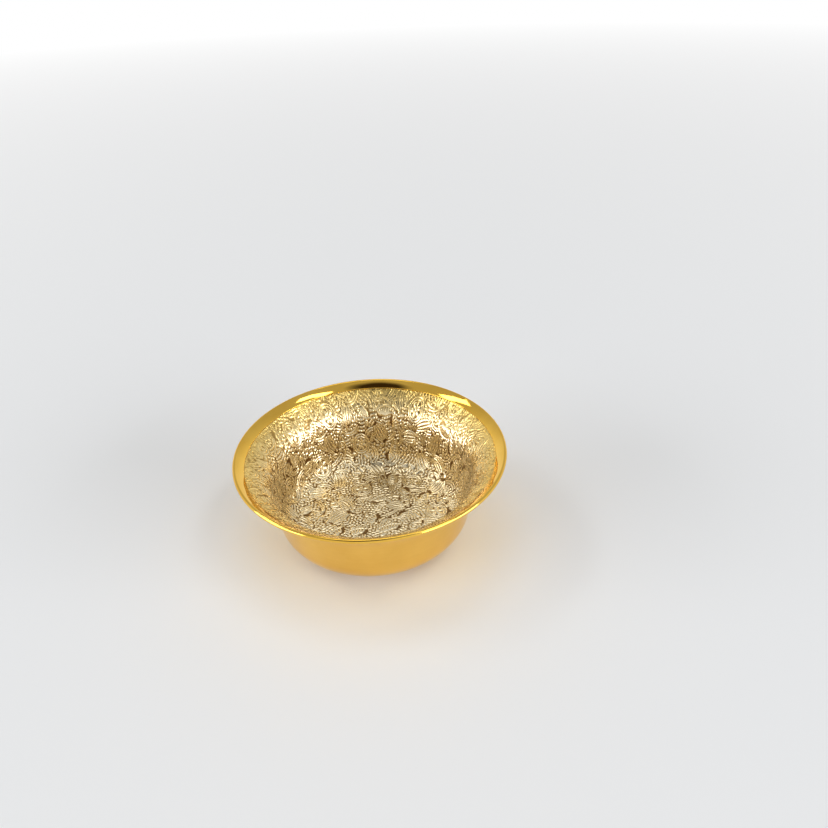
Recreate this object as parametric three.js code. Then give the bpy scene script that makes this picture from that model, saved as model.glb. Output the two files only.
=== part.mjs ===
// A spun brass bowl with a smooth outer shell, an embossed lining, a polished rim band and a low foot ring.
// Millimetres, +Z up. The origin is on the surface that the bowl stands on, in the middle of the foot ring.

import * as THREE from 'three';

// Overall sizes
const RIM_RADIUS = 57.5;
const BODY_HEIGHT = 40;

// The wall's line, from the lip down to the base, measured on the outside of the shell
const FLARE_TILT = THREE.MathUtils.degToRad(52);
const FLARE_LENGTH = 10;
const NECK_RADIUS = 14;
const WALL_TILT = THREE.MathUtils.degToRad(8);
const CORNER_RADIUS = 12;

// Sheet thicknesses, and the clearance that one piece keeps to the next
const SHELL_WALL = 0.7;
const LINING_WALL = 0.5;
const BAND_WALL = 0.8;
const SEAT_GAP = 0.3;

// Rim band
const BAND_WIDTH = 4.2;
const BEAD_SKIRT = 0.6;
const BAND_EDGE_ROUND = 0.3;

// Foot ring
const FOOT_HEIGHT = 3;
const FOOT_WALL = 1.8;
const FOOT_SETBACK = 3.2;
const FOOT_SPLAY = 1;
const FOOT_EDGE_ROUND = 0.6;

// Fineness of the round surfaces
const TURN_SEGMENTS = 64;
const ARC_STEP = THREE.MathUtils.degToRad(11);
const BEAD_STEPS = 8;
const EDGE_STEPS = 3;

// Each sheet lies at its own inset from the outside of the shell.
const LINING_BACK = SHELL_WALL + SEAT_GAP;
const LINING_FACE = LINING_BACK + LINING_WALL;
const LIP_THICKNESS = LINING_BACK + BAND_WALL;
const BEAD_RADIUS = LIP_THICKNESS / 2;
const BASE_UNDERSIDE = FOOT_HEIGHT;
const LIP_TOP = BASE_UNDERSIDE + BODY_HEIGHT;

// The direction up along a sheet that leans outwards by the given angle, and the one square to it, inwards
function along(tilt) {
  return new THREE.Vector2(Math.sin(tilt), Math.cos(tilt));
}

function inwards(tilt) {
  return new THREE.Vector2(-Math.cos(tilt), Math.sin(tilt));
}

function moved(point, direction, distance) {
  return point.clone().addScaledVector(direction, distance);
}

// The centre of the rounded lip, from which the whole wall line hangs
const LIP_CENTRE = new THREE.Vector2(RIM_RADIUS - BEAD_RADIUS, LIP_TOP - BEAD_RADIUS);

// A point of the flare, by its distance down from the lip's centre and its inset from the outside
function flarePoint(down, inset) {
  const level = moved(LIP_CENTRE, along(FLARE_TILT), -down);
  return moved(level, inwards(FLARE_TILT), inset - BEAD_RADIUS);
}

// The neck arc is centred outside the bowl, below the flare.
const NECK_CENTRE = moved(flarePoint(FLARE_LENGTH, 0), inwards(FLARE_TILT), -NECK_RADIUS);
const NECK_END = moved(NECK_CENTRE, inwards(WALL_TILT), NECK_RADIUS);

// The corner arc is centred inside the bowl, and the straight wall joins the two arcs.
const CORNER_LEVEL = BASE_UNDERSIDE + CORNER_RADIUS;
const WALL_DROP = NECK_END.y - (CORNER_LEVEL - CORNER_RADIUS * Math.sin(WALL_TILT));
const WALL_FOOT = moved(NECK_END, along(WALL_TILT), -WALL_DROP / Math.cos(WALL_TILT));
const CORNER_CENTRE = moved(WALL_FOOT, inwards(WALL_TILT), CORNER_RADIUS);
const BASE_RADIUS = CORNER_CENTRE.x;

// Points on an arc between two tilts of its sheet, where side is 1 if the sheet is on the inner side of the centre
function sheetArc(centre, radius, side, fromTilt, toTilt) {
  const steps = Math.ceil(Math.abs(toTilt - fromTilt) / ARC_STEP);
  const points = [];
  for (let step = 0; step <= steps; step += 1) {
    const tilt = fromTilt + (toTilt - fromTilt) * step / steps;
    points.push(moved(centre, inwards(tilt), side * radius));
  }
  return points;
}

// The wall's line at an inset, from the axis along the base and up to a point that is down from the lip's centre
function wallLine(inset, down) {
  const corner = sheetArc(CORNER_CENTRE, CORNER_RADIUS - inset, -1, Math.PI / 2, WALL_TILT);
  const neck = sheetArc(NECK_CENTRE, NECK_RADIUS + inset, 1, WALL_TILT, FLARE_TILT);
  const middle = new THREE.Vector2(0, BASE_UNDERSIDE + inset);
  return [middle, ...corner, ...neck, flarePoint(down, inset)];
}

// A quarter round between two edges of a section, from one direction to the next
function roundedEdge(centre, radius, fromDirection, toDirection) {
  const points = [];
  for (let step = 0; step <= EDGE_STEPS; step += 1) {
    const turn = Math.PI / 2 * step / EDGE_STEPS;
    const start = moved(centre, fromDirection, radius * Math.cos(turn));
    points.push(moved(start, toDirection, radius * Math.sin(turn)));
  }
  return points;
}

// Spins a section about the bowl's axis
function spun(section) {
  const geometry = new THREE.LatheGeometry(section, TURN_SEGMENTS);
  geometry.rotateX(Math.PI / 2);
  return geometry;
}

// A sheet between two insets, open at the top, whose section starts and ends on the axis
function sheetSection(outerInset, innerInset, down) {
  const outside = wallLine(outerInset, down);
  const inside = wallLine(innerInset, down);
  return [...outside, ...inside.reverse()];
}

// The polished band lies on the shell's flare, and its rounded bead closes the shell's edge.
function bandSection() {
  const up = along(FLARE_TILT);
  const inner = inwards(FLARE_TILT);
  const bead = [];
  for (let step = 0; step <= BEAD_STEPS; step += 1) {
    const turn = Math.PI * step / BEAD_STEPS;
    const across = moved(LIP_CENTRE, inner, -BEAD_RADIUS * Math.cos(turn));
    bead.push(moved(across, up, BEAD_RADIUS * Math.sin(turn)));
  }
  const edgeCentre = flarePoint(BAND_WIDTH - BAND_EDGE_ROUND, LIP_THICKNESS - BAND_EDGE_ROUND);
  const edge = roundedEdge(edgeCentre, BAND_EDGE_ROUND, inner, up.clone().negate());
  const back = [flarePoint(BAND_WIDTH, LINING_BACK), flarePoint(BEAD_SKIRT, LINING_BACK)];
  const skirt = flarePoint(BEAD_SKIRT, 0);
  return [skirt, ...bead, ...edge, ...back, skirt.clone()];
}

// The foot ring splays out a little and has a rounded outer edge above its flat resting face.
function footSection() {
  const topOuter = new THREE.Vector2(BASE_RADIUS - FOOT_SETBACK, FOOT_HEIGHT);
  const topInner = new THREE.Vector2(topOuter.x - FOOT_WALL, FOOT_HEIGHT);
  const bottomInner = new THREE.Vector2(topInner.x + FOOT_SPLAY, 0);
  const edgeCentre = new THREE.Vector2(topOuter.x + FOOT_SPLAY - FOOT_EDGE_ROUND, FOOT_EDGE_ROUND);
  const out = new THREE.Vector2(1, 0);
  const below = new THREE.Vector2(0, -1);
  const edge = roundedEdge(edgeCentre, FOOT_EDGE_ROUND, out, below).reverse();
  return [bottomInner, ...edge, topOuter, topInner, bottomInner.clone()];
}

function named(name, geometry, material) {
  const mesh = new THREE.Mesh(geometry, material);
  mesh.name = name;
  return mesh;
}

const polishedGold = new THREE.MeshStandardMaterial({ color: 0xd9a52c, roughness: 0.12, metalness: 1 });
const chasedGold = new THREE.MeshStandardMaterial({ color: 0xcdb277, roughness: 0.32, metalness: 1 });
const footGold = new THREE.MeshStandardMaterial({ color: 0xd0992a, roughness: 0.2, metalness: 1 });

const shellTop = BEAD_SKIRT + SEAT_GAP;
const liningTop = BAND_WIDTH + SEAT_GAP;

const bowl = new THREE.Group();
bowl.add(named('outer_shell', spun(sheetSection(0, SHELL_WALL, shellTop)), polishedGold));
bowl.add(named('embossed_lining', spun(sheetSection(LINING_BACK, LINING_FACE, liningTop)), chasedGold));
bowl.add(named('rim_band', spun(bandSection()), polishedGold));
bowl.add(named('foot_ring', spun(footSection()), footGold));

export default bowl;
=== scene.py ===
import math
import random

import bmesh
import bpy
import numpy as np
from mathutils import Matrix, Vector


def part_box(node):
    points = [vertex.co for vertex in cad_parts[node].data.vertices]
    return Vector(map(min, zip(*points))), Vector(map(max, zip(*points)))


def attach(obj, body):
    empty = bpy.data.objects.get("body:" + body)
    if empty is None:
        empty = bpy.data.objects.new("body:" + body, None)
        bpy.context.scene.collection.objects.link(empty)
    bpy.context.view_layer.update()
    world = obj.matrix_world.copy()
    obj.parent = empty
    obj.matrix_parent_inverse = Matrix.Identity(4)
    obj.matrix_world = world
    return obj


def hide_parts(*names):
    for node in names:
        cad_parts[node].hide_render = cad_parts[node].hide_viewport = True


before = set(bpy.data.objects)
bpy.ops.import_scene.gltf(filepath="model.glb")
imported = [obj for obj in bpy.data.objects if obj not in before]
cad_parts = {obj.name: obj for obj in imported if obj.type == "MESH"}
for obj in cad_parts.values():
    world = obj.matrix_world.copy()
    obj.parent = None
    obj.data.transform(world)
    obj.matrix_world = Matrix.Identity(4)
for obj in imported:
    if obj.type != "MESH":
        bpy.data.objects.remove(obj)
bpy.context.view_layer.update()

MM = 0.001

# Sizes of the bowl, from the frame where it has them
RIM_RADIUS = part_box("rim_band")[1].x
LIP_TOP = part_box("rim_band")[1].z
BASE_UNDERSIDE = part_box("foot_ring")[1].z
FOOT_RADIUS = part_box("foot_ring")[1].x

# The wall's line on the outside of the shell
FLARE_TILT = math.radians(52)
FLARE_LENGTH = 10 * MM
NECK_RADIUS = 14 * MM
WALL_TILT = math.radians(8)
CORNER_RADIUS = 12 * MM

# Sheet thicknesses, the clearance behind the lining and the band, and the finer seams that show
SHELL_WALL = 0.7 * MM
LINING_WALL = 0.5 * MM
BAND_WALL = 0.8 * MM
SEAT_GAP = 0.3 * MM
VISIBLE_SEAM = 0.07 * MM
LINING_BACK = SHELL_WALL + SEAT_GAP
LINING_FACE = LINING_BACK + LINING_WALL
LIP_THICKNESS = LINING_BACK + BAND_WALL
BEAD_RADIUS = LIP_THICKNESS / 2

# Rim band and foot ring
BAND_WIDTH = 4.2 * MM
BEAD_SKIRT = 0.6 * MM
BAND_EDGE_ROUND = 0.3 * MM
BAND_CROWN = 0.12 * MM
FOOT_WALL = 1.8 * MM
FOOT_SPLAY = 1 * MM
FOOT_EDGE_ROUND = 0.6 * MM
SOLDER_FILLET = 0.5 * MM

# Fineness of the turned pieces
TURNED_POINTS = 320
SHELL_STEP = 0.8 * MM
EDGE_STEPS = 5
BEAD_STEPS = 20
CROWN_STEPS = 12
CREASE_ANGLE = math.radians(40)

# Fineness of the lining, whose rings halve their points towards its middle
LINING_POINTS = 896
LINING_RING = 0.31 * MM
LEAST_SPACING = 0.18 * MM
BACK_STEP = 4 * MM
MIDDLE_POINTS = 14

# Chased relief, above and below the lining's face, and the pitch of its lines
RELIEF_TOP = 0.15 * MM
RELIEF_GROUND = -0.17 * MM
LINE_PITCH = 1.45 * MM
PLATE_PITCH = 0.1 * MM
PLATE_MARGIN = 1 * MM
GROUND_SEED = 5
MOTIF_SEED = 11

# The groove round most motifs, and a path so short that it makes a round dot
GROOVE = 0.35 * MM
DOT = 0.01 * MM


def along(tilt):
    """The direction up a sheet that leans outwards by this tilt, as radius and height."""
    return np.array((math.sin(tilt), math.cos(tilt)))


def inwards(tilt):
    """The direction square to such a sheet, towards the inside of the bowl."""
    return np.array((-math.cos(tilt), math.sin(tilt)))


LIP_CENTRE = np.array((RIM_RADIUS - BEAD_RADIUS, LIP_TOP - BEAD_RADIUS))


def flare_point(down, inset):
    """A point of the flare, by its distance down from the lip's centre and its inset from the outside."""
    return LIP_CENTRE - down * along(FLARE_TILT) + (inset - BEAD_RADIUS) * inwards(FLARE_TILT)


NECK_CENTRE = flare_point(FLARE_LENGTH, 0) - NECK_RADIUS * inwards(FLARE_TILT)
NECK_END = NECK_CENTRE + NECK_RADIUS * inwards(WALL_TILT)
WALL_DROP = NECK_END[1] - BASE_UNDERSIDE - CORNER_RADIUS * (1 - math.sin(WALL_TILT))
WALL_FOOT = NECK_END - WALL_DROP / math.cos(WALL_TILT) * along(WALL_TILT)
CORNER_CENTRE = WALL_FOOT + CORNER_RADIUS * inwards(WALL_TILT)
BASE_RADIUS = CORNER_CENTRE[0]


def steps_between(length, step):
    """Even shares from just above 0 to 1 that cut a length into steps no longer than the one given."""
    count = max(1, math.ceil(length / step))
    return [(number + 1) / count for number in range(count)]


def base_stretch(inset, step, start=0.0):
    """Points along the flat base, outwards, each as radius, height and tilt."""
    span = BASE_RADIUS - start
    height = BASE_UNDERSIDE + inset
    return [(start + span * share, height, math.pi / 2) for share in steps_between(span, step)]


def corner_stretch(inset, step):
    """Points up the rounded corner between the base and the wall."""
    radius = CORNER_RADIUS - inset
    turn = math.pi / 2 - WALL_TILT
    points = []
    for share in steps_between(radius * turn, step):
        tilt = math.pi / 2 - turn * share
        points.append((*(CORNER_CENTRE - radius * inwards(tilt)), tilt))
    return points


def wall_stretch(inset, step):
    """Points up the straight wall and the neck, as far as the start of the flare."""
    points = []
    foot = WALL_FOOT + inset * inwards(WALL_TILT)
    rise = NECK_END - WALL_FOOT
    for share in steps_between(np.linalg.norm(rise), step):
        points.append((*(foot + rise * share), WALL_TILT))
    radius = NECK_RADIUS + inset
    turn = FLARE_TILT - WALL_TILT
    for share in steps_between(radius * turn, step):
        tilt = WALL_TILT + turn * share
        points.append((*(NECK_CENTRE + radius * inwards(tilt)), tilt))
    return points


def flare_stretch(inset, step, down):
    """Points up the flare, as far as a distance down from the lip's centre."""
    points = []
    for share in steps_between(FLARE_LENGTH - down, step):
        place = FLARE_LENGTH + (down - FLARE_LENGTH) * share
        points.append((*flare_point(place, inset), FLARE_TILT))
    return points


def outline_of(stretch):
    """Only the radius and height of each point of a stretch."""
    return [(point[0], point[1]) for point in stretch]


def rounded(centre, radius, start, turn, steps=EDGE_STEPS):
    """Points on an arc about a centre, from an angle above the outward direction, through a turn."""
    points = []
    for number in range(steps + 1):
        angle = start + turn * number / steps
        points.append((centre[0] + radius * math.cos(angle), centre[1] + radius * math.sin(angle)))
    return points


def finished(name, bm, material, node):
    """Makes a piece of a bmesh, rides it on the bowl and lets it stand for its node."""
    mesh = bpy.data.meshes.new(name)
    bm.to_mesh(mesh)
    bm.free()
    mesh.materials.append(material)
    piece = bpy.data.objects.new(name, mesh)
    bpy.context.scene.collection.objects.link(piece)
    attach(piece, "root")
    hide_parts(node)
    return piece


def spun(section):
    """Spins a closed section, or one that starts and ends on the axis, about the bowl's axis."""
    bm = bmesh.new()
    corners = [bm.verts.new((radius, 0, height)) for radius, height in section]
    edges = [bm.edges.new(pair) for pair in zip(corners, corners[1:])]
    if section[0][0] > 0:
        edges.append(bm.edges.new((corners[-1], corners[0])))
    bmesh.ops.spin(
        bm,
        geom=corners + edges,
        cent=(0, 0, 0),
        axis=(0, 0, 1),
        angle=math.tau,
        steps=TURNED_POINTS,
        use_merge=True,
    )
    bmesh.ops.remove_doubles(bm, verts=bm.verts, dist=0.001 * MM)
    bmesh.ops.recalc_face_normals(bm, faces=bm.faces)
    for face in bm.faces:
        face.smooth = True
    return bm


def sharpened(bm):
    """Keeps the shading crisp at the edges of a spun piece."""
    for edge in bm.edges:
        if len(edge.link_faces) == 2 and edge.calc_face_angle() > CREASE_ANGLE:
            edge.smooth = False
    return bm


# The flat blank that the lining is drawn from carries the relief, as heights on a square plate.


def blank_radii(line):
    """The radius on the flat blank that each point of a line was drawn from, at the same area of sheet."""
    area = 0
    last = (0, line[0][1])
    radii = []
    for radius, height, tilt in line:
        area += math.pi * (radius + last[0]) * math.hypot(radius - last[0], height - last[1])
        radii.append(math.sqrt(area / math.pi))
        last = (radius, height)
    return radii


class Plate:
    """The blank's relief, from 0 in its ground to 1 on its ridges, on a square grid about its middle."""

    def __init__(self, reach):
        self.count = 2 * math.ceil(reach / PLATE_PITCH) + 1
        self.heights = np.zeros((self.count, self.count))
        self.marks = (np.arange(self.count) - self.count // 2) * PLATE_PITCH

    def vermiculate(self, pitch, seed):
        """Fills the ground with short worm-like ridges at an even pitch, by sifting random noise."""
        field = np.random.default_rng(seed).standard_normal(self.heights.shape)
        waves = np.fft.fftfreq(self.count, PLATE_PITCH) * pitch
        sieve = np.exp(-((np.hypot(waves, waves[:, None]) - 1) / 0.16) ** 2)
        for _ in range(4):
            field = np.fft.ifft2(np.fft.fft2(field) * sieve).real
            field = np.tanh(2.2 * field / field.std() - 0.35)
        self.heights = np.clip(0.62 + 0.75 * field, 0, 1)

    def window(self, low, high):
        """The slices of the grid between two corners."""
        first = np.clip(np.floor(low / PLATE_PITCH).astype(int) + self.count // 2, 0, self.count)
        last = np.clip(np.ceil(high / PLATE_PITCH).astype(int) + self.count // 2 + 1, 0, self.count)
        return slice(first[1], last[1]), slice(first[0], last[0])

    def chase(self, path, halves, groove=0.0, top=1.0):
        """Raises a rounded ridge of the given half widths along a path, with a groove sunk round it."""
        margin = max(halves) + groove
        rows, columns = self.window(path.min(0) - margin, path.max(0) + margin)
        x, y = np.meshgrid(self.marks[columns], self.marks[rows])
        if x.size == 0:
            return
        edge = np.full(x.shape, np.inf)
        crown = np.zeros(x.shape)
        for start, end, first, last in zip(path, path[1:], halves, halves[1:]):
            run = end - start
            share = ((x - start[0]) * run[0] + (y - start[1]) * run[1]) / max(run @ run, 1e-12)
            share = share.clip(0, 1)
            off = np.hypot(x - start[0] - share * run[0], y - start[1] - share * run[1])
            half = first + (last - first) * share
            edge = np.minimum(edge, off - half)
            crown = np.maximum(crown, 1 - (off / half) ** 2)
        part = self.heights[rows, columns]
        part[edge < groove] = 0
        raised = crown > 0
        part[raised] = top * crown[raised] ** 0.6

    def soften(self, times):
        """Rounds the relief a little, as rolling and plating do."""
        for _ in range(times):
            for axis in (0, 1):
                self.heights = (
                    np.roll(self.heights, 1, axis) + 2 * self.heights + np.roll(self.heights, -1, axis)
                ) / 4

    def sampled(self, x, y):
        """The relief at points of the blank, between the grid's points."""
        column = np.clip(x / PLATE_PITCH + self.count // 2, 0, self.count - 1.001)
        row = np.clip(y / PLATE_PITCH + self.count // 2, 0, self.count - 1.001)
        i, j = row.astype(int), column.astype(int)
        down, across = row - i, column - j
        upper = self.heights[i, j] * (1 - across) + self.heights[i, j + 1] * across
        lower = self.heights[i + 1, j] * (1 - across) + self.heights[i + 1, j + 1] * across
        return upper * (1 - down) + lower * down


def heading_vector(angle):
    """The direction on the blank at an angle."""
    return np.array((math.cos(angle), math.sin(angle)))


def bent_path(start, heading, length, bend, count):
    """A path of even steps that turns steadily by a whole bend along its length."""
    path = [start]
    for number in range(count):
        path.append(path[-1] + length / count * heading_vector(heading + bend * (number + 0.5) / count))
    return np.array(path)


def square_to(path):
    """Unit vectors square to a path, at each of its points."""
    run = np.gradient(path, axis=0)
    return np.stack((-run[:, 1], run[:, 0]), axis=1) / np.hypot(run[:, 0], run[:, 1])[:, None]


def scattered(rng, reach, tries, apart, taken):
    """Random places on the blank that keep clear of those already taken, each taken with its own radius."""
    places = []
    for _ in range(tries):
        place = reach * math.sqrt(rng.random()) * heading_vector(rng.uniform(0, math.tau))
        if all(np.hypot(*(place - other)) > apart + clear for other, clear in taken):
            places.append(place)
            taken.append((place, apart))
    return places


def chase_volute(plate, rng, place, start, turn):
    """A volute that winds in to a round eye, from a place on its outside."""
    outer = rng.uniform(1.75, 2.35) * MM
    side = math.copysign(1, turn)
    centre = place + outer * heading_vector(start + side * math.pi / 2)
    path = []
    for number in range(17):
        share = number / 16
        angle = start - side * math.pi / 2 + turn * share
        path.append(centre + outer * (1 - 0.68 * share) * heading_vector(angle))
    plate.chase(np.array(path), np.linspace(0.3, 0.36, len(path)) * MM, 0.34 * MM)
    plate.chase(np.array((centre, centre + DOT)), [0.5 * MM] * 2, 0.1 * MM)


def chase_stem(plate, rng, place):
    """A scrolling stem, drawn as two lines side by side, that ends in a volute."""
    bend = rng.choice((-1, 1)) * rng.uniform(0.8, 2.6)
    heading = rng.uniform(0, math.tau)
    path = bent_path(place, heading, rng.uniform(7, 14) * MM, bend, 14)
    share = np.linspace(0, 1, len(path))
    spread = (0.62 * MM * (1 - 0.5 * share ** 2))[:, None]
    plate.chase(path, [1.05 * MM] * len(path), 0.3 * MM, 0)
    for side in (-1, 1):
        plate.chase(path + side * spread * square_to(path), [0.36 * MM] * len(path))
    chase_volute(plate, rng, path[-1], heading + bend, math.copysign(rng.uniform(6.5, 8), bend))


def chase_leaf(plate, rng, place, heading):
    """A blunt leaf with ribs that swell apart along it, inside a raised outline."""
    length = rng.uniform(7.5, 11.5) * MM
    ribs = rng.choice((3, 3, 4))
    spread = LINE_PITCH * 0.5 * (ribs - 1)
    bend = rng.choice((-1, 1)) * rng.uniform(0.3, 1.2)
    spine = bent_path(place - length / 2 * heading_vector(heading), heading - bend / 2, length, bend, 12)
    across = square_to(spine)
    share = np.linspace(0, 1, len(spine))
    fan = np.sin(math.pi * (0.16 + 0.7 * share))
    plate.chase(spine[3:-3], (spread + 1.25 * MM) * fan[3:-3], GROOVE, 0)
    for number in range(ribs):
        side = 2 * number / max(ribs - 1, 1) - 1
        path = spine + (side * spread * fan)[:, None] * across
        plate.chase(path[1:-1], 0.5 * MM * fan[1:-1] ** 0.7, 0, 1 - 0.2 * abs(side))
    for side in (-1, 1):
        path = spine + (side * (spread + 1.15 * MM) * fan)[:, None] * across
        plate.chase(path, [0.3 * MM] * len(path))


def chase_feather(plate, rng, place, heading):
    """A feather: barbs that curve off one side of a bent quill."""
    length = rng.uniform(7, 11) * MM
    bend = rng.choice((-1, 1)) * rng.uniform(0.6, 1.8)
    side = math.copysign(1, bend)
    quill = bent_path(place - length / 2 * heading_vector(heading), heading - bend / 2, length, bend, 12)
    across = square_to(quill) * side
    barbs = int(length / (1.35 * MM))
    body = quill + across * 1.9 * MM
    plate.chase(body[2:-3], [1.9 * MM] * (len(body) - 5), GROOVE, 0)
    for number in range(barbs):
        spot = (number + 0.6) / barbs * (len(quill) - 1)
        before = quill[int(spot)]
        after = quill[min(int(spot) + 1, len(quill) - 1)]
        foot = before + (spot % 1) * (after - before)
        out = across[int(spot)]
        lean = math.atan2(out[1], out[0])
        reach = 3.4 * MM * math.sin(math.pi * (0.2 + 0.65 * (number + 0.5) / barbs))
        barb = bent_path(foot + out * 0.6 * MM, lean, reach, -side * 0.7, 5)
        plate.chase(barb, np.linspace(0.34, 0.5, len(barb)) * MM)
    plate.chase(quill, [0.4 * MM] * len(quill), 0.12 * MM)


def chase_petal(plate, rng, place):
    """A plain domed petal, broad at one end."""
    length = rng.uniform(2, 3.4) * MM
    path = bent_path(place, rng.uniform(0, math.tau), length, rng.uniform(-0.7, 0.7), 5)
    broad = rng.uniform(0.85, 1.3) * MM
    plate.chase(path, np.linspace(0.35 * MM, broad, len(path)), GROOVE)


def chase_flower(plate, rng, place):
    """A round medallion: a double ring about a flower of domed petals."""
    radius = rng.uniform(4.2, 5) * MM
    petals = rng.choice((5, 6, 6, 7))
    spot = np.array((place, place + DOT))
    plate.chase(spot, [radius + 0.4 * MM] * 2, GROOVE, 0)
    turn = np.linspace(0, math.tau, 41)
    rim = np.stack((np.cos(turn), np.sin(turn)), axis=1)
    plate.chase(place + radius * rim, [0.36 * MM] * len(turn))
    plate.chase(place + (radius - 1.05 * MM) * rim, [0.33 * MM] * len(turn))
    inside = radius - 1.5 * MM
    start = rng.uniform(0, math.tau)
    for number in range(petals):
        out = heading_vector(start + math.tau * number / petals)
        path = np.array([place + inside * share * out for share in (0.45, 0.72)])
        width = inside * 0.62 * math.sin(math.pi / petals)
        plate.chase(path, [width * 0.75, width])
    plate.chase(spot, [inside * 0.24] * 2)


def chased_plate(reach):
    """The whole blank: a vermiculated ground, then petals, stems, feathers, leaves and round flowers."""
    rng = random.Random(MOTIF_SEED)
    plate = Plate(reach)
    plate.vermiculate(LINE_PITCH, GROUND_SEED)
    taken = []
    flowers = scattered(rng, reach, 600, 11 * MM, taken)
    taken = [(place, 4.2 * MM) for place in flowers]
    leaves = scattered(rng, reach, 1500, 4.4 * MM, taken)
    for place in scattered(rng, reach, 900, 1.6 * MM, []):
        if rng.random() < 0.6:
            chase_petal(plate, rng, place)
    for place in scattered(rng, reach, 700, 3.1 * MM, []):
        chase_stem(plate, rng, place)
    for place in leaves:
        nearest = min(flowers, key=lambda flower: np.hypot(*(place - flower)))
        round_flower = math.atan2(*(place - nearest)[::-1]) + math.pi / 2
        draw = rng.choice((chase_leaf, chase_feather))
        draw(plate, rng, place, round_flower + rng.uniform(-0.9, 0.9))
    for place in flowers:
        chase_flower(plate, rng, place)
    plate.soften(3)
    return plate


def ring_points(radius):
    """How many points a ring of the lining takes."""
    count = LINING_POINTS
    while count > MIDDLE_POINTS and math.tau * radius / count < LEAST_SPACING:
        count //= 2
    return count


class Sheet:
    """A sheet grown outwards ring by ring, with the blank radius and tilt of each point kept beside it."""

    def __init__(self):
        self.bm = bmesh.new()
        self.blank = self.bm.verts.layers.float.new("blank_radius")
        self.tilt = self.bm.verts.layers.float.new("sheet_tilt")
        self.border = []

    def place(self, verts, ring):
        """Moves the points of a ring to its radius and height."""
        radius, height, tilt, blank = ring
        for vert in verts:
            scale = radius / math.hypot(vert.co.x, vert.co.y)
            vert.co = (vert.co.x * scale, vert.co.y * scale, height)
            vert[self.blank] = blank
            vert[self.tilt] = tilt

    def start(self, ring, capped):
        """The first ring, about a middle point if it is capped."""
        count = ring_points(ring[0])
        made = bmesh.ops.create_circle(
            self.bm, cap_ends=capped, cap_tris=capped, segments=count, radius=ring[0]
        )
        self.border = [edge for edge in self.bm.edges if len(edge.link_faces) < 2]
        outer = [vert for vert in made["verts"] if vert.co.length > ring[0] / 2]
        for vert in made["verts"]:
            vert.co.z = ring[1]
            vert[self.tilt] = ring[2]
        self.place(outer, ring)

    def grow(self, ring, keep_count=False):
        """One more ring, with twice the points where the last ring has grown too coarse."""
        if not keep_count and ring_points(ring[0]) > len(self.border):
            bmesh.ops.subdivide_edges(self.bm, edges=self.border, cuts=1)
            self.border = [edge for edge in self.bm.edges if edge.is_boundary]
        made = bmesh.ops.extrude_edge_only(self.bm, edges=self.border)["geom"]
        verts = {part for part in made if isinstance(part, bmesh.types.BMVert)}
        edges = [part for part in made if isinstance(part, bmesh.types.BMEdge)]
        self.border = [edge for edge in edges if edge.verts[0] in verts and edge.verts[1] in verts]
        self.place(verts, ring)

    def crease(self):
        """Keeps the sheet's edge crisp at the last ring."""
        for edge in self.border:
            edge.smooth = False


def lining_mesh(bm, blank, tilt, plate):
    """Finishes a grown sheet: its faces point outwards, and its face carries the relief."""
    bmesh.ops.remove_doubles(bm, verts=bm.verts, dist=0.001 * MM)
    bmesh.ops.recalc_face_normals(bm, faces=bm.faces)
    for face in bm.faces:
        face.smooth = True
    layer = bm.verts.layers.float.new("relief")
    places = np.array([vert.co for vert in bm.verts])
    blanks = np.array([vert[blank] for vert in bm.verts])
    tilts = np.array([vert[tilt] for vert in bm.verts])
    angles = np.arctan2(places[:, 1], places[:, 0])
    relief = plate.sampled(blanks * np.cos(angles), blanks * np.sin(angles))
    rise = RELIEF_GROUND + (RELIEF_TOP - RELIEF_GROUND) * relief
    rise[blanks < 0] = 0
    level = -np.cos(tilts)
    normals = np.stack((level * np.cos(angles), level * np.sin(angles), np.sin(tilts)), axis=1)
    places += normals * rise[:, None]
    for vert, place, height in zip(bm.verts, places, relief):
        vert.co = place
        vert[layer] = height
    return bm


def with_blank(line, radii):
    """Rings of a sheet's face, each with its radius on the blank."""
    return [(*point, radius) for point, radius in zip(line, radii)]


def back_rings(line):
    """The plain back of a sheet, which the relief doesn't reach."""
    return [(*point, -1.0) for point in line]


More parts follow.
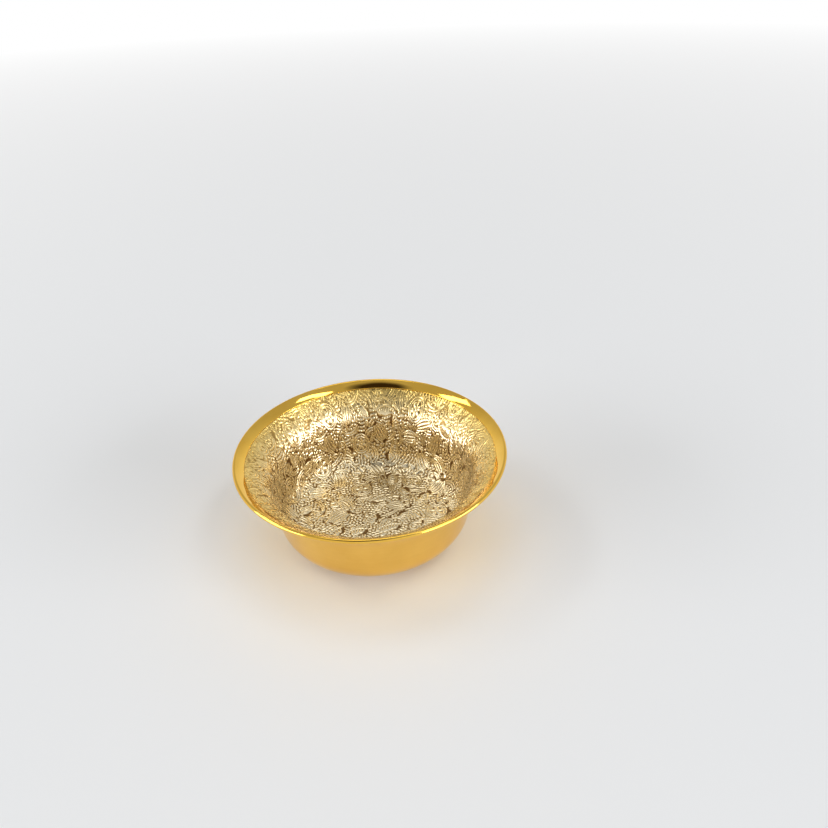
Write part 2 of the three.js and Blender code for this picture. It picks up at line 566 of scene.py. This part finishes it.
def make_lining(material):
    """The chased lining, in two pieces that meet where the rounded corner ends."""
    lining_top = BAND_WIDTH + VISIBLE_SEAM
    floor = base_stretch(LINING_FACE, LINING_RING) + corner_stretch(LINING_FACE, LINING_RING)
    wall = wall_stretch(LINING_FACE, LINING_RING) + flare_stretch(LINING_FACE, LINING_RING, lining_top)
    radii = blank_radii(floor + wall)
    plate = chased_plate(radii[-1] + PLATE_MARGIN)
    floor_rings = with_blank(floor, radii)
    wall_rings = with_blank(wall, radii[len(floor):])
    floor_back = back_rings(corner_stretch(LINING_BACK, BACK_STEP)[::-1])
    floor_back += back_rings([(BASE_RADIUS, BASE_UNDERSIDE + LINING_BACK, math.pi / 2)])

    sheet = Sheet()
    sheet.start(floor_rings[0], capped=True)
    for ring in floor_rings[1:]:
        sheet.grow(ring)
    sheet.crease()
    for ring in floor_back:
        sheet.grow(ring, keep_count=True)
        if ring is floor_back[0]:
            sheet.crease()
    bmesh.ops.edgeloop_fill(sheet.bm, edges=sheet.border)
    floor_bm = lining_mesh(sheet.bm, sheet.blank, sheet.tilt, plate)
    finished("lining_floor", floor_bm, material, "embossed_lining")

    wall_back = wall_stretch(LINING_BACK, BACK_STEP) + flare_stretch(LINING_BACK, BACK_STEP, lining_top)
    back = back_rings([corner_stretch(LINING_BACK, BACK_STEP)[-1]] + wall_back)[::-1]
    sheet = Sheet()
    sheet.start(floor_rings[-1], capped=False)
    sheet.crease()
    for ring in wall_rings:
        sheet.grow(ring, keep_count=True)
    sheet.crease()
    for ring in back:
        sheet.grow(ring, keep_count=True)
        if ring is back[0] or ring is back[-1]:
            sheet.crease()
    sheet.grow(floor_rings[-1], keep_count=True)
    wall_bm = lining_mesh(sheet.bm, sheet.blank, sheet.tilt, plate)
    finished("lining_wall", wall_bm, material, "embossed_lining")


def make_shell(material):
    """The smooth outer shell, whose edge runs up under the lip's bead."""
    top = BEAD_SKIRT + VISIBLE_SEAM
    sides = []
    for inset in (0, SHELL_WALL):
        line = base_stretch(inset, 4 * SHELL_STEP) + corner_stretch(inset, SHELL_STEP)
        line += wall_stretch(inset, SHELL_STEP) + flare_stretch(inset, 2 * SHELL_STEP, top)
        sides.append([(0, BASE_UNDERSIDE + inset)] + outline_of(line))
    bm = spun(sides[0] + sides[1][::-1])
    return finished("polished_shell", sharpened(bm), material, "outer_shell")


def make_band(material):
    """The polished band inside the lip, and the rounded bead that closes the shell's edge."""
    bead = rounded(LIP_CENTRE, BEAD_RADIUS, -FLARE_TILT, math.pi, BEAD_STEPS)
    edge_centre = flare_point(BAND_WIDTH - BAND_EDGE_ROUND, LIP_THICKNESS - BAND_EDGE_ROUND)
    edge = rounded(edge_centre, BAND_EDGE_ROUND, math.pi - FLARE_TILT, math.pi / 2)
    inner = []
    for number in range(1, CROWN_STEPS):
        share = number / CROWN_STEPS
        crown = BAND_CROWN * math.sin(math.pi * share)
        inner.append(tuple(flare_point((BAND_WIDTH - BAND_EDGE_ROUND) * share, LIP_THICKNESS + crown)))
    back = [tuple(flare_point(BAND_WIDTH, LINING_BACK)), tuple(flare_point(BEAD_SKIRT, LINING_BACK))]
    skirt = tuple(flare_point(BEAD_SKIRT, 0))
    bm = spun([skirt] + bead + inner + edge + back)
    return finished("polished_rim_band", sharpened(bm), material, "rim_band")


def make_foot(material):
    """The splayed foot ring, with a small fillet of solder where it meets the base."""
    outer = FOOT_RADIUS - FOOT_SPLAY
    inner = outer - FOOT_WALL
    quarter = math.pi / 2
    edge_centre = (FOOT_RADIUS - FOOT_EDGE_ROUND, FOOT_EDGE_ROUND)
    edge = rounded(edge_centre, FOOT_EDGE_ROUND, -quarter, quarter)
    level = BASE_UNDERSIDE - SOLDER_FILLET
    outer_fillet = rounded((outer + SOLDER_FILLET, level), SOLDER_FILLET, math.pi, -quarter)
    inner_fillet = rounded((inner - SOLDER_FILLET, level), SOLDER_FILLET, quarter, -quarter)
    bm = spun([(inner + FOOT_SPLAY, 0)] + edge + outer_fillet + inner_fillet)
    return finished("soldered_foot_ring", sharpened(bm), material, "foot_ring")


def set_up(name):
    """A new material with its node tree, its shader and the object coordinates."""
    material = bpy.data.materials.new(name)
    material.use_nodes = True
    tree = material.node_tree
    shader = tree.nodes["Principled BSDF"]
    places = tree.nodes.new("ShaderNodeTexCoord").outputs["Object"]
    return material, tree, shader, places


def stretched(tree, places, scale, turn=(0, 0, 0)):
    """Object coordinates, stretched and turned for a pattern."""
    mapping = tree.nodes.new("ShaderNodeMapping")
    mapping.inputs["Scale"].default_value = scale
    mapping.inputs["Rotation"].default_value = turn
    tree.links.new(places, mapping.inputs["Vector"])
    return mapping.outputs["Vector"]


def noise(tree, places, scale, detail=3.0, roughness=0.5):
    """A noise pattern, from 0 to 1."""
    node = tree.nodes.new("ShaderNodeTexNoise")
    node.inputs["Scale"].default_value = scale
    node.inputs["Detail"].default_value = detail
    node.inputs["Roughness"].default_value = roughness
    tree.links.new(places, node.inputs["Vector"])
    return node.outputs["Fac"]


def ranged(tree, value, low, high, new_low, new_high):
    """Maps a value from one range to another, and holds it there."""
    node = tree.nodes.new("ShaderNodeMapRange")
    settings = {"From Min": low, "From Max": high, "To Min": new_low, "To Max": new_high}
    for name, setting in settings.items():
        node.inputs[name].default_value = setting
    tree.links.new(value, node.inputs["Value"])
    return node.outputs["Result"]


def combined(tree, operation, first, second):
    """Arithmetic on two values, the second of which may be a number."""
    node = tree.nodes.new("ShaderNodeMath")
    node.operation = operation
    tree.links.new(first, node.inputs[0])
    if isinstance(second, (int, float)):
        node.inputs[1].default_value = second
    else:
        tree.links.new(second, node.inputs[1])
    return node.outputs["Value"]


def ramp(tree, value, stops):
    """A colour ramp over stops, each a place and a colour."""
    node = tree.nodes.new("ShaderNodeValToRGB")
    elements = node.color_ramp.elements
    while len(elements) < len(stops):
        elements.new(1)
    for element, (place, colour) in zip(elements, stops):
        element.position = place
        element.color = (*colour, 1)
    tree.links.new(value, node.inputs["Fac"])
    return node.outputs["Color"]


def mixed(tree, share, first, second):
    """A blend of two colours by a share from 0 to 1."""
    node = tree.nodes.new("ShaderNodeMix")
    node.data_type = "RGBA"
    tree.links.new(share, node.inputs["Factor"])
    tree.links.new(first, node.inputs["A"])
    tree.links.new(second, node.inputs["B"])
    return node.outputs["Result"]


def bumped(tree, shader, layers):
    """Chains bumps, each a height, a strength and a depth in metres, into the shader's normal."""
    normal = None
    for height, strength, depth in layers:
        node = tree.nodes.new("ShaderNodeBump")
        node.inputs["Strength"].default_value = strength
        node.inputs["Distance"].default_value = depth
        tree.links.new(height, node.inputs["Height"])
        if normal:
            tree.links.new(normal, node.inputs["Normal"])
        normal = node.outputs["Normal"]
    tree.links.new(normal, shader.inputs["Normal"])


def turned_lines(tree, places, fineness):
    """Lines that run round the axis on any surface of a spun piece, from its radius and height."""
    parts = tree.nodes.new("ShaderNodeSeparateXYZ")
    tree.links.new(places, parts.inputs["Vector"])
    across = combined(tree, "MULTIPLY", parts.outputs["X"], parts.outputs["X"])
    away = combined(tree, "MULTIPLY", parts.outputs["Y"], parts.outputs["Y"])
    radius = combined(tree, "SQRT", combined(tree, "ADD", across, away), 0)
    line = tree.nodes.new("ShaderNodeCombineXYZ")
    tree.links.new(radius, line.inputs["X"])
    tree.links.new(parts.outputs["Z"], line.inputs["Y"])
    return noise(tree, line.outputs["Vector"], fineness, 4, 0.6)


def polished_gold(name, deep, bright, gloss):
    """Buffed gilt: slow waves in the sheet, buffing lines round the axis, hairline scratches and haze."""
    material, tree, shader, places = set_up(name)
    shader.inputs["Metallic"].default_value = 1
    haze = noise(tree, places, 45, 5, 0.6)
    lines = turned_lines(tree, places, 900)
    lines_share = combined(tree, "MULTIPLY", lines, 0.2)
    haze_share = combined(tree, "MULTIPLY", haze, 0.8)
    shade = combined(tree, "ADD", lines_share, haze_share)
    tree.links.new(ramp(tree, shade, [(0.35, deep), (0.65, bright)]), shader.inputs["Base Color"])
    hairlines = noise(tree, stretched(tree, places, (5200, 130, 900), (0.4, 0.9, 0.3)), 1, 2)
    worn = ranged(tree, noise(tree, places, 260, 5, 0.65), 0.45, 0.75, 0, 0.05)
    buffed = ranged(tree, lines, 0.4, 0.7, 0, 0.03)
    streaks = ranged(tree, hairlines, 0.6, 0.8, 0, 0.08)
    wear = combined(tree, "ADD", worn, buffed)
    scratches = combined(tree, "ADD", streaks, gloss)
    tree.links.new(combined(tree, "ADD", wear, scratches), shader.inputs["Roughness"])
    waves = noise(tree, places, 60, 1)
    layers = [(waves, 0.6, 0.6 * MM), (lines, 0.15, 0.02 * MM), (hairlines, 0.1, 0.008 * MM)]
    bumped(tree, shader, layers)
    return material


# Colours of the lining by the height of its relief, lower down in the bowl and near the rim: patina and
# painted shade in the ground, a painted highlight on the ridges, and a painted sheen that pales the lower
# colours
LOWER_GILT_PATINA_AND_PAINTED_LIGHT = [(0.03, (0.22, 0.12, 0.04)), (0.28, (0.8, 0.63, 0.34)), (0.75, (0.96, 0.83, 0.57))]
RIM_GILT_PATINA_AND_PAINTED_LIGHT = [(0.02, (0.5, 0.32, 0.09)), (0.3, (0.84, 0.58, 0.16)), (0.75, (0.92, 0.66, 0.2))]
# Heights over which the painted sheen lower down gives way to the deeper colour by the rim
PAINTED_SHEEN_FULL_BELOW = 29 * MM
PAINTED_SHEEN_GONE_ABOVE = 40 * MM


def chased_gold(name):
    """Gilt over the relief: bright on its ridges as a painted highlight, dark and matt in its ground as
    patina and painted shade, paler lower down as a painted sheen and deeper by the rim.
    """
    material, tree, shader, places = set_up(name)
    shader.inputs["Metallic"].default_value = 1
    relief = tree.nodes.new("ShaderNodeAttribute")
    relief.attribute_name = "relief"
    height = relief.outputs["Fac"]
    patchy = ranged(tree, noise(tree, places, 90, 4), 0.3, 0.7, -0.09, 0.09)
    level = combined(tree, "ADD", height, patchy)
    # Painted light: shade in the ground, a highlight on the ridges, and a whiter sheen in the lower ramp
    pale = ramp(tree, level, LOWER_GILT_PATINA_AND_PAINTED_LIGHT)
    deep = ramp(tree, level, RIM_GILT_PATINA_AND_PAINTED_LIGHT)
    parts = tree.nodes.new("ShaderNodeSeparateXYZ")
    tree.links.new(places, parts.inputs["Vector"])
    # A painted sheen pales the lining lower down, and gives way to the deeper colour by the rim
    rim_share_over_painted_sheen = ranged(tree, parts.outputs["Z"], PAINTED_SHEEN_FULL_BELOW, PAINTED_SHEEN_GONE_ABOVE, 0, 1)
    tree.links.new(mixed(tree, rim_share_over_painted_sheen, pale, deep), shader.inputs["Base Color"])
    grain = noise(tree, places, 3800, 3, 0.6)
    matt = ranged(tree, height, 0.03, 0.55, 0.42, 0.24)
    uneven = ranged(tree, noise(tree, places, 700, 4), 0.35, 0.7, -0.03, 0.08)
    tree.links.new(combined(tree, "ADD", matt, uneven), shader.inputs["Roughness"])
    pits = tree.nodes.new("ShaderNodeTexVoronoi")
    pits.inputs["Scale"].default_value = 2600
    tree.links.new(places, pits.inputs["Vector"])
    ground = ranged(tree, height, 0.15, 0.45, 1, 0)
    punched = combined(tree, "MULTIPLY", pits.outputs["Distance"], ground)
    bumped(tree, shader, [(punched, 0.35, 0.06 * MM), (grain, 0.25, 0.02 * MM)])
    return material


SHELL_GOLD = polished_gold("shell_gold", (0.83, 0.51, 0.11), (0.92, 0.6, 0.145), 0.03)
BAND_GOLD = polished_gold("band_gold", (0.83, 0.49, 0.07), (0.91, 0.57, 0.1), 0.04)
FOOT_GOLD = polished_gold("foot_gold", (0.76, 0.5, 0.16), (0.9, 0.63, 0.22), 0.12)
LINING_GOLD_PATINA_AND_PAINTED_LIGHT = chased_gold("lining_gold")

make_shell(SHELL_GOLD)
make_lining(LINING_GOLD_PATINA_AND_PAINTED_LIGHT)
make_band(BAND_GOLD)
make_foot(FOOT_GOLD)


# Floor, backdrop and light


def light_seen(tree):
    """1 for rays that see the background, mirrored or through glass too, and 0 for light that falls."""
    path = tree.nodes.new("ShaderNodeLightPath")
    seen = combined(tree, "ADD", path.outputs["Is Camera Ray"], path.outputs["Is Glossy Ray"])
    seen = combined(tree, "ADD", seen, path.outputs["Is Transmission Ray"])
    return combined(tree, "MINIMUM", seen, 1)


FLOOR_RADIUS = 6
FLOOR_COLOUR = (0.86, 0.86, 0.85)
# How far from the bowl the floor starts to turn white, and where it is all white
FADE_START = 0.2
FADE_END = 2
# The sky's greys by height where it is seen, and its even light on everything else
SKY_GREYS = [(0, 1), (0.25, 0.9), (0.5, 0.66), (0.7, 0.53), (1, 0.52)]
SKY_LIGHT = 0.42
SOFTBOX_DISTANCE = 3
DAYLIGHT = (0.95, 0.99, 1.07)


def make_floor():
    """A wide pale floor that turns white away from the bowl and keeps the bowl's shadow."""
    material, tree, shader, places = set_up("pale_floor")
    shader.inputs["Base Color"].default_value = (*FLOOR_COLOUR, 1)
    shader.inputs["Roughness"].default_value = 0.6
    distance = tree.nodes.new("ShaderNodeVectorMath")
    distance.operation = "LENGTH"
    tree.links.new(places, distance.inputs[0])
    far = ranged(tree, distance.outputs["Value"], FADE_START, FADE_END, 0, 1)
    glow = tree.nodes.new("ShaderNodeEmission")
    glow.inputs["Strength"].default_value = 1
    mix = tree.nodes.new("ShaderNodeMixShader")
    share = combined(tree, "MULTIPLY", light_seen(tree), far)
    tree.links.new(share, mix.inputs[0])
    tree.links.new(shader.outputs["BSDF"], mix.inputs[1])
    tree.links.new(glow.outputs["Emission"], mix.inputs[2])
    tree.links.new(mix.outputs["Shader"], tree.nodes["Material Output"].inputs["Surface"])
    bm = bmesh.new()
    bmesh.ops.create_circle(bm, cap_ends=True, segments=96, radius=FLOOR_RADIUS)
    mesh = bpy.data.meshes.new("floor")
    bm.to_mesh(mesh)
    bm.free()
    mesh.materials.append(material)
    floor = bpy.data.objects.new("floor", mesh)
    bpy.context.scene.collection.objects.link(floor)


def direction(azimuth, elevation):
    """A direction from the bowl, by its angle round the axis and its angle above the floor."""
    around, up = math.radians(azimuth), math.radians(elevation)
    return Vector((math.cos(up) * math.cos(around), math.cos(up) * math.sin(around), math.sin(up)))


# A dark hood above the camera, which the polished metal shows
HOOD_DIRECTION = direction(-104, 61)
HOOD_OUTER = math.cos(math.radians(22))
HOOD_INNER = math.cos(math.radians(12))
HOOD_SHADE = (0.07, 0.05, 0.04)


def make_sky():
    """A plain sky that lights softly, seen as white near the horizon and greyer overhead."""
    world = bpy.data.worlds.new("studio")
    bpy.context.scene.world = world
    world.use_nodes = True
    tree = world.node_tree
    background = tree.nodes["Background"]
    coords = tree.nodes.new("ShaderNodeTexCoord")
    parts = tree.nodes.new("ShaderNodeSeparateXYZ")
    tree.links.new(coords.outputs["Generated"], parts.inputs["Vector"])
    stops = [(place, (grey, grey, grey)) for place, grey in SKY_GREYS]
    overhead = ramp(tree, parts.outputs["Z"], stops)
    towards_hood = tree.nodes.new("ShaderNodeVectorMath")
    towards_hood.operation = "DOT_PRODUCT"
    tree.links.new(coords.outputs["Generated"], towards_hood.inputs[0])
    towards_hood.inputs[1].default_value = HOOD_DIRECTION
    hood = ranged(tree, towards_hood.outputs["Value"], HOOD_OUTER, HOOD_INNER, 0, 1)
    hood_dark = ramp(tree, hood, [(0, (1, 1, 1)), (1, HOOD_SHADE)])
    shaded = tree.nodes.new("ShaderNodeMix")
    shaded.data_type = "RGBA"
    shaded.blend_type = "MULTIPLY"
    shaded.inputs["Factor"].default_value = 1
    tree.links.new(overhead, shaded.inputs["A"])
    tree.links.new(hood_dark, shaded.inputs["B"])
    mix = tree.nodes.new("ShaderNodeMix")
    mix.data_type = "RGBA"
    mix.inputs["A"].default_value = (SKY_LIGHT, SKY_LIGHT, SKY_LIGHT, 1)
    tree.links.new(light_seen(tree), mix.inputs["Factor"])
    tree.links.new(shaded.outputs["Result"], mix.inputs["B"])
    tree.links.new(mix.outputs["Result"], background.inputs["Color"])


def make_softbox(name, azimuth, elevation, width, height, brightness, colour=(1, 1, 1)):
    """A softbox, as bright as a mirror would show it, with its size given at a metre from the bowl."""
    lamp = bpy.data.lights.new(name, "AREA")
    lamp.shape = "RECTANGLE"
    lamp.size = width * SOFTBOX_DISTANCE
    lamp.size_y = height * SOFTBOX_DISTANCE
    lamp.energy = brightness * math.pi * lamp.size * lamp.size_y
    lamp.color = colour
    holder = bpy.data.objects.new(name, lamp)
    bpy.context.scene.collection.objects.link(holder)
    towards = direction(azimuth, elevation)
    holder.location = towards * SOFTBOX_DISTANCE + Vector((0, 0, LIP_TOP))
    holder.rotation_euler = towards.to_track_quat("Z", "Y").to_euler()


make_floor()
make_sky()
make_softbox("high_right_softbox", -18, 60, 0.4, 0.15, 5)
make_softbox("high_left_softbox", 168, 47, 0.4, 0.15, 5)
make_softbox("top_softbox", 100, 77, 0.5, 0.26, 2)
make_softbox("low_right_softbox", -28, 15, 0.85, 0.34, 7, DAYLIGHT)
make_softbox("low_left_softbox", 198, 15, 0.75, 0.34, 6.5, DAYLIGHT)


# Camera, at the photograph's viewing angle and framing

IMAGE_SIDE = 828
FOCAL_PIXELS = 745
SENSOR = 36
VIEW_PITCH = math.radians(33.2)
VIEW_ROLL = math.radians(2.22)
# Where the rim's centre lies before the camera, in rim radii: right, down and away
RIM_SEEN = (-0.3225, 0.2583, 5.4801)


def make_camera():
    """The camera, placed by where it sees the centre of the rim."""
    data = bpy.data.cameras.new("camera")
    data.sensor_width = SENSOR
    data.lens = SENSOR * FOCAL_PIXELS / IMAGE_SIDE
    data.clip_start = 0.01
    camera = bpy.data.objects.new("camera", data)
    bpy.context.scene.collection.objects.link(camera)
    bpy.context.scene.camera = camera
    forward = Vector((0, math.cos(VIEW_PITCH), -math.sin(VIEW_PITCH)))
    level = Vector((1, 0, 0))
    lower = Vector((0, -math.sin(VIEW_PITCH), -math.cos(VIEW_PITCH)))
    right = math.cos(VIEW_ROLL) * level + math.sin(VIEW_ROLL) * lower
    down = math.cos(VIEW_ROLL) * lower - math.sin(VIEW_ROLL) * level
    rim_centre = Vector((0, 0, LIP_TOP - BEAD_RADIUS))
    seen = RIM_SEEN[0] * right + RIM_SEEN[1] * down + RIM_SEEN[2] * forward
    place = rim_centre - RIM_RADIUS * seen
    turned = Matrix((right, -down, -forward)).transposed()
    camera.matrix_world = Matrix.Translation(place) @ turned.to_4x4()


make_camera()

bpy.context.scene.view_settings.view_transform = "Standard"
